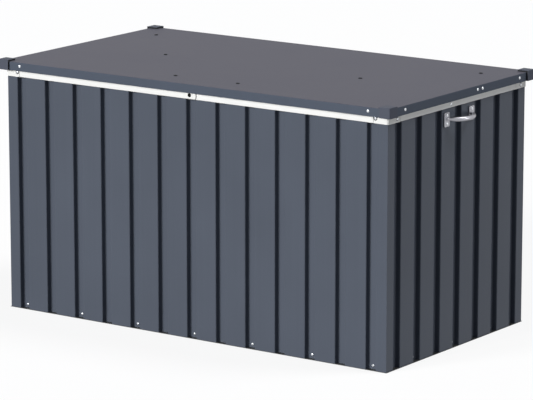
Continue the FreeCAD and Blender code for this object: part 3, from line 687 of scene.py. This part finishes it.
bright_zinc = zinc_plated("bright_zinc_plating")
for node_name, name, edge, body in (("lock_nut", "lock_nut_zinc", 0.4 * mm, "root"),
                                    ("lock_cam", "lock_cam_zinc", 0.3 * mm, "lock_barrel")):
    piece = worn_by(eased(node_name, name, edge), bright_zinc)
    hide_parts(node_name)
    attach(piece, body)


# Lift handles, one on each end, held by two screws in the flat pad of each foot. Cast in
# zinc, with a bow that swells from slim necks to a thick, round grip. The bright plating
# shines over a slightly pitted skin.
def cast_zinc(name):
    pit = 3.85 * mm  # the real pits, of about 1 mm, are too fine to show
    wear = 22.2 * mm
    casting = finish(name, Metallic=1.0, Base_Color=linear("9b9ba1"))
    place = add_node(casting, "ShaderNodeTexCoord")
    skin = add_node(casting, "ShaderNodeTexNoise",
                    {"Vector": place.outputs["Object"], "Scale": 1 / pit, "Detail": 5.0})
    worn = add_node(casting, "ShaderNodeTexNoise",
                    {"Vector": place.outputs["Object"], "Scale": 1 / wear, "Detail": 3.0})
    rough = add_node(casting, "ShaderNodeMapRange",
                     {"Value": worn.outputs["Fac"], "To Min": 0.2, "To Max": 0.42})
    bump = add_node(casting, "ShaderNodeBump",
                    {"Height": skin.outputs["Fac"], "Strength": 0.25, "Distance": 0.2 * mm})
    to_shader(casting, Roughness=rough.outputs["Result"], Normal=bump.outputs["Normal"])
    return casting


handle_metal = cast_zinc("bright_zinc_casting")
handle_span = 165 * mm
pad_width = 34 * mm
pad_height = 52 * mm
pad_thickness = 6 * mm
pad_round = 5 * mm
pad_edge = 1.2 * mm
bow_reach = 50 * mm
root_half = 74 * mm
neck_radius = 4.5 * mm
grip_radius = 8.5 * mm
bow_taper = 3.2
flare_start = 0.93
flare_rise = 2.5 * mm
stations = 40
rise = bow_reach - pad_thickness / 2
arc_radius = (root_half ** 2 + rise ** 2) / (2 * rise)
sweep = math.asin(root_half / arc_radius)
low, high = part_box("handle_right")
handle_z = (low.z + high.z) / 2


def bow_thickness(share):
    fullness = math.sin(min(1.0, bow_taper * (1 - abs(share))) * math.pi / 2) ** 2
    flare = max(0.0, abs(share) - flare_start) / (1 - flare_start)
    return neck_radius + (grip_radius - neck_radius) * fullness + flare_rise * flare ** 2


def on_bow(share):
    turn = share * sweep
    return arc_radius * math.sin(turn), 0, bow_reach - arc_radius + arc_radius * math.cos(turn)


def cast_handle(name):
    bpy.ops.mesh.primitive_circle_add(vertices=32, radius=bow_thickness(-1), location=on_bow(-1),
                                      rotation=(0, math.pi / 2 - sweep, 0))
    bow = settled(name)
    bpy.ops.object.mode_set(mode="EDIT")
    bpy.ops.mesh.select_all(action="SELECT")
    step = 2 * sweep / stations
    for i in range(stations):
        before, after = 2 * i / stations - 1, 2 * (i + 1) / stations - 1
        here, there = on_bow(before), on_bow(after)
        bpy.ops.mesh.extrude_region_move(
            TRANSFORM_OT_translate={"value": [b - a for a, b in zip(here, there)]})
        bpy.ops.transform.rotate(value=-step, orient_axis="Y", center_override=there)
        grow = bow_thickness(after) / bow_thickness(before)
        bpy.ops.transform.resize(value=(grow, grow, grow), center_override=there)
    bpy.ops.mesh.select_all(action="SELECT")
    bpy.ops.mesh.fill_holes(sides=0)
    bpy.ops.mesh.normals_make_consistent(inside=False)
    done_editing()
    for x in (-handle_span / 2, handle_span / 2):
        pad = block("pad", (x - pad_width / 2, -pad_height / 2, 0),
                    (x + pad_width / 2, pad_height / 2, pad_thickness))
        pick(pad, "EDGE", lambda a, b: abs(a.z - b.z) > pad_thickness / 2)
        bpy.ops.mesh.bevel(offset=pad_round, segments=5, affect="EDGES")
        done_editing()
        pick(pad, "FACE", lambda centre, normal: normal.z > 0.9)
        bpy.ops.mesh.bevel(offset=pad_edge, segments=3, affect="EDGES")
        done_editing()
        cut(bow, pad, "UNION")
    smooth(bow, 40)
    return bow


pattern = cast_handle("lift_handle")
for end, direction in (("right", 1), ("left", -1)):
    outward = Vector((direction, 0, 0))
    handle = copied(pattern, "lift_handle_" + end)
    placed(handle, UP.cross(outward), UP, outward, outward * half_length + UP * handle_z)
    worn_by(handle, handle_metal)
    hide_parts("handle_" + end)
    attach(handle, "root")
bpy.data.objects.remove(pattern)


# Hinges at the back and the gas struts' brackets. Steel, pressed with slightly rounded edges
# and zinc plated to a bright, faintly hazy face. The hinges are screwed to rail and lid.
pressed_edge = 0.4 * mm
for node_name, name, body in (("hinge_lower_leaves", "hinge_lower_leaf_plates", "root"),
                              ("hinge_upper_leaves", "hinge_upper_leaf_plates", "lid"),
                              ("strut_foot_bracket_right", "strut_foot_plate_right", "root"),
                              ("strut_foot_bracket_left", "strut_foot_plate_left", "root"),
                              ("strut_head_bracket_right", "strut_head_angle_right", "lid"),
                              ("strut_head_bracket_left", "strut_head_angle_left", "lid")):
    piece = worn_by(eased(node_name, name, pressed_edge), bright_zinc)
    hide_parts(node_name)
    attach(piece, body)
coat(["hinge_pins"], bright_zinc)


# Lid panel. One sheet folded to a shallow pan, its corners welded and ground,
# coil coated like the walls but smoother, pale grey underneath. The flat top is
# painted warmer and less blue than the flanges: a painted reflection of the bright surroundings.
low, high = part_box("lid_panel")
lid_top = high.z
lid_half_length, lid_half_width = high.x, high.y
lid_sheet = 0.8 * mm
lid_bend = 2.5 * mm
top_reflection_share = 0.6
lid_paint = coil_coated_steel("coil_coated_lid_steel", "4d5460", gloss=0.06, roughness=0.5,
                              streak=60 * mm)
# Painted reflection: the pan's upper 1.5 mm, its flat top, is mixed towards 5a555d.
painted_tone_by_height(lid_paint, lid_top - 1.5 * mm, lid_top - 0.2 * mm, top_reflection_share, "5a555d")
lid = block("lid_pan", low, high)
pick(lid, "FACE", lambda centre, normal: normal.z < -0.9)
bpy.ops.mesh.delete(type="FACE")
done_editing()
pick(lid, "EDGE", lambda a, b: max(a.z, b.z) > lid_top - mm)
bpy.ops.mesh.bevel(offset=lid_bend, segments=4, affect="EDGES")
done_editing()
worn_by(lid, lid_paint, backing)
modified(lid, "SOLIDIFY", thickness=lid_sheet, offset=-1, use_even_offset=True, material_offset=1)
smooth(lid)
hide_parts("lid_panel")
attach(lid, "lid")


# Lid frame, braces and hook. Galvanised angle, welded to a frame that stiffens
# the pan, with two slanting channels and the catch for the lock's cam.
coat(["lid_frame", "lid_brace_left", "lid_brace_right"], galvanised)
hook = worn_by(eased("lid_hook", "lid_catch_hook", pressed_edge), bright_zinc)
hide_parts("lid_hook")
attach(hook, "lid")


# Corner caps of the lid. Thick mouldings of anthracite plastic, matt and finely grained,
# pushed over the pan's corners and hollowed under a thin lip at each inner edge; the
# hollow's back wall is given the black rubber as painted shade.
cap_round = 6 * mm
cap_edge = 1.5 * mm
cap_skin = 1.3 * mm
lip_depth = 1.5 * mm
beyond = 20 * mm
cap_plastic = moulded_plastic("anthracite_moulded_plastic", "50545f", 0.55, 0.06)
for face, toward_back in (("front", -1), ("back", 1)):
    for end, toward_right in (("left", -1), ("right", 1)):
        node_name = "lid_cap_" + face + "_" + end
        low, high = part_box(node_name)
        cap = block("lid_corner_cap_" + face + "_" + end, low, high)
        x_out = high.x if toward_right > 0 else low.x
        y_out = high.y if toward_back > 0 else low.y
        pick(cap, "EDGE",
             lambda a, b: all(abs(p.x - x_out) + abs(p.y - y_out) < mm for p in (a, b)))
        bpy.ops.mesh.bevel(offset=cap_round, segments=6, affect="EDGES")
        done_editing()
        pick(cap, "EDGE", lambda a, b: min(a.z, b.z) > high.z - 0.1 * mm)
        bpy.ops.mesh.bevel(offset=cap_edge, segments=3, affect="EDGES")
        done_editing()
        x_in = low.x if toward_right > 0 else high.x
        y_in = low.y if toward_back > 0 else high.y
        corner = Vector((toward_right * lid_half_length, toward_back * lid_half_width, lid_top))
        skin = Vector((x_out - toward_right * cap_skin, y_out - toward_back * cap_skin,
                       high.z - cap_skin))
        far = Vector((x_in - toward_right * beyond, y_in - toward_back * beyond, low.z - beyond))
        for reach in ((corner.x, corner.y, corner.z),
                      (x_in + toward_right * lip_depth, skin.y, skin.z),
                      (skin.x, y_in + toward_back * lip_depth, skin.z)):
            cut(cap, block("inside", [min(a, b) for a, b in zip(far, reach)],
                           [max(a, b) for a, b in zip(far, reach)]))
        smooth(cap, 35)
        worn_by(cap, cap_plastic, rubber)
        # Painted shade: the hollow's back walls get the black rubber.
        for part in cap.data.polygons:
            spot = part.center
            if min(abs(spot.x - x_in - toward_right * lip_depth),
                   abs(spot.y - y_in - toward_back * lip_depth)) < 0.05 * mm:
                part.material_index = 1
        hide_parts(node_name)
        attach(cap, "lid")


# Buffers under the lid. Studs moulded in matt black rubber, with a rounded foot, fixed under
# the lid's frame so that the lid comes down softly on the rail.
def as_one(pieces, name):
    only(pieces[0])
    for piece in pieces:
        piece.select_set(True)
    bpy.ops.object.join()
    return settled(name)


stud_taper = 0.86
studs = []
for points in solids_of("lid_buffers"):
    xs, ys, zs = zip(*points)
    radius = (max(xs) - min(xs)) / 2
    foot, top = min(zs), max(zs)
    middle = Vector(((max(xs) + min(xs)) / 2, (max(ys) + min(ys)) / 2, foot))
    stud = turned("stud", [
        (0, radius - 1.6 * mm), (0.5 * mm, radius - 0.5 * mm), (1.6 * mm, radius),
        (top - foot, radius * stud_taper)])
    placed(stud, Vector((1, 0, 0)), Vector((0, 1, 0)), UP, middle)
    studs.append(stud)
buffers = worn_by(as_one(studs, "lid_rubber_studs"), rubber)
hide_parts("lid_buffers")
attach(buffers, "lid")


# Screws. Cold-headed pan heads with a cross recess, zinc plated and bright; those on the
# lid's top have wider heads, dipped in matt black paint.
def pan_head_screw(length, radius=head_radius):
    screw = turned("screw", [
        (-length, 0.5 * shank_radius), (-length + 2 * mm, shank_radius), (0, shank_radius),
        (0, radius - 0.2 * mm), (0.3 * mm, radius), (1.2 * mm, radius - 0.2 * mm),
        (2.0 * mm, radius - 1.0 * mm), (2.45 * mm, radius - 2.0 * mm),
        (head_height, radius - 3.4 * mm)], sides=28)
    for wide, deep in ((2.6 * mm, 0.5 * mm), (0.5 * mm, 2.6 * mm)):
        arm = block("arm", (-wide, -deep, head_height - 1.3 * mm), (wide, deep, head_height + mm))
        cut(screw, arm)
    smooth(screw, 35)
    return screw


shank_length = 9 * mm
top_head_radius = 7.3 * mm
painted_head = moulded_plastic("black_dipped_screw_paint", "0d0e10", 0.6, 0.15)
pattern = pan_head_screw(shank_length)
wide_pattern = pan_head_screw(shank_length, top_head_radius)
for node_name, name, body, material, slot in (
        ("base_screws", "base_rail_screws", "root", bright_zinc, "zinc_screw"),
        ("rail_screws", "top_rail_screws", "root", bright_zinc, "zinc_screw"),
        ("handle_screws", "lift_handle_screws", "root", bright_zinc, "zinc_screw"),
        ("lid_top_screws", "lid_brace_screws", "lid", painted_head, "dark_screw"),
        ("lid_flange_screws", "lid_edge_screws", "lid", bright_zinc, "zinc_screw"),
        ("hinge_lower_screws", "hinge_rail_screws", "root", bright_zinc, "zinc_screw"),
        ("hinge_upper_screws", "hinge_lid_screws", "lid", bright_zinc, "zinc_screw"),
        ("lock_cam_screw", "cam_end_screw", "lock_barrel", bright_zinc, "zinc_screw")):
    copies = []
    for seat, outward, length in screw_places(node_name):
        screw = copied(wide_pattern if node_name == "lid_top_screws" else pattern, "screw")
        for point in screw.data.vertices:
            if point.co.z < -mm:
                point.co.z += shank_length - length
        across = outward.orthogonal().normalized()
        placed(screw, across, outward.cross(across), outward, seat)
        copies.append(screw)
    group = worn_by(as_one(copies, name), material)
    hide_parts(node_name)
    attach(group, body)
bpy.data.objects.remove(pattern)
bpy.data.objects.remove(wide_pattern)


# Gas struts. Black painted tube with a rolled-in gland end and a welded eye, and a hard
# chromed rod that slides in it, mirror-bright but for faint patches of oil.
def chromed_steel(name):
    oil_patch = 16.7 * mm
    chrome = finish(name, Metallic=1.0, Base_Color=linear("dcdee0"))
    place = add_node(chrome, "ShaderNodeTexCoord")
    oil = add_node(chrome, "ShaderNodeTexNoise",
                   {"Vector": place.outputs["Object"], "Scale": 1 / oil_patch})
    rough = add_node(chrome, "ShaderNodeMapRange",
                     {"Value": oil.outputs["Fac"], "To Min": 0.08, "To Max": 0.2})
    to_shader(chrome, Roughness=rough.outputs["Result"])
    return chrome


strut_black = lacquered_metal("black_painted_tube", "101113", 0.38)
chrome = chromed_steel("hard_chromed_rod")
foot = Vector((808, 400, 800)) * mm
head = Vector((808, 130, 918)) * mm
strut_length = (head - foot).length
along = (head - foot).normalized()
sideways = Vector((1, 0, 0))
axes = (sideways, along.cross(sideways), along)
tube_radius = 9 * mm
tube_start = 12 * mm
rod_shown = 34 * mm
tube_end = strut_length - rod_shown
crimp = tube_end - 16 * mm
gland_bore = 4.4 * mm
rod_start = 40 * mm
rod_radius = 4 * mm
neck_start = 5 * mm
foot_neck_radius = 3.5 * mm
eye_radius = 7 * mm
eye_width = 10 * mm
eye_edge = 0.8 * mm
stud_radius = 4 * mm
stud_shoulder = 1.6 * mm
stud_end = 2.5 * mm


def eye(name, distance, bore):
    half = eye_width / 2
    ring = turned(name, [
        (-half, eye_radius - eye_edge), (-half + eye_edge, eye_radius),
        (half - eye_edge, eye_radius), (half, eye_radius - eye_edge),
        (half, bore), (-half, bore)], sides=40, closed=True)
    return placed(ring, UP, Vector((0, 1, 0)), Vector((-1, 0, 0)), (0, 0, distance))


for end, direction in (("right", 1), ("left", -1)):
    start = Vector((foot.x * direction, foot.y, foot.z))
    tube = turned("tube", [
        (tube_start, tube_radius - 3 * mm), (tube_start + mm, tube_radius - mm),
        (tube_start + 3 * mm, tube_radius), (crimp, tube_radius),
        (crimp + 1.5 * mm, tube_radius - 1.1 * mm), (crimp + 3 * mm, tube_radius),
        (tube_end - 3 * mm, tube_radius), (tube_end - mm, tube_radius - mm),
        (tube_end, tube_radius - 3 * mm),
        (tube_end, gland_bore), (tube_end - 4 * mm, gland_bore)], sides=40)
    neck = turned("neck", [
        (neck_start, foot_neck_radius), (tube_start + mm, foot_neck_radius)], sides=24)
    tube = as_one([tube, neck, eye("foot_eye", 0, stud_radius + 0.1 * mm)], "gas_strut_tube_" + end)
    placed(tube, *axes, start)
    worn_by(tube, strut_black)
    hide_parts("strut_tube_" + end)
    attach(tube, "strut_tube_" + end)
    rod = turned("rod", [
        (rod_start, rod_radius), (strut_length - eye_radius + mm, rod_radius)], sides=32)
    pin = turned("pin", [
        (-eye_width / 2 - mm, stud_radius), (eye_width / 2 + stud_shoulder, stud_radius),
        (eye_width / 2 + stud_end, stud_radius - mm)], sides=32)
    placed(pin, Vector((0, 0, direction)), Vector((0, 1, 0)), Vector((-direction, 0, 0)),
           (0, 0, strut_length))
    rod = as_one([rod, eye("head_eye", strut_length, stud_radius), pin], "gas_strut_rod_" + end)
    placed(rod, *axes, start)
    worn_by(rod, chrome)
    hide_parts("strut_rod_" + end)
    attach(rod, "strut_rod_" + end)


# Soft light from the front left, a harder one beside it, a high and a low light from the
# right and behind, and a weak, bluish, even sky. The background is white to eye and mirror.
def lamp(name, turn, rise, strength, softness):
    data = bpy.data.lights.new(name, "SUN")
    data.energy = strength * math.pi
    data.angle = math.radians(softness)
    made = bpy.data.objects.new(name, data)
    bpy.context.scene.collection.objects.link(made)
    a, e = math.radians(turn), math.radians(rise)
    towards = Vector((math.sin(a) * math.cos(e), -math.cos(a) * math.cos(e), math.sin(e)))
    made.rotation_euler = towards.to_track_quat("Z", "Y").to_euler()


lamp("front_left_light", -24, 18, 0.85, 18)
lamp("front_light", -8, 14, 0.34, 5)
lamp("high_right_light", 125, 57, 0.44, 20)
lamp("low_right_light", 112, 4, 0.22, 10)
world = bpy.data.worlds.new("studio_sky")
bpy.context.scene.world = world
world.use_nodes = True
sky = world.node_tree.nodes["Background"]
seen = seen_by_eye(world)
strength = add_node(world, "ShaderNodeMapRange", {"Value": seen, "To Min": 0.12, "To Max": 1.0})
tint = add_node(world, "ShaderNodeMix", {0: seen, 6: linear("d8e4ff"), 7: linear("ffffff")},
                data_type="RGBA")
wire(world, sky, {"Color": tint.outputs[2], "Strength": strength.outputs["Result"]})
bpy.context.scene.view_settings.view_transform = "Standard"
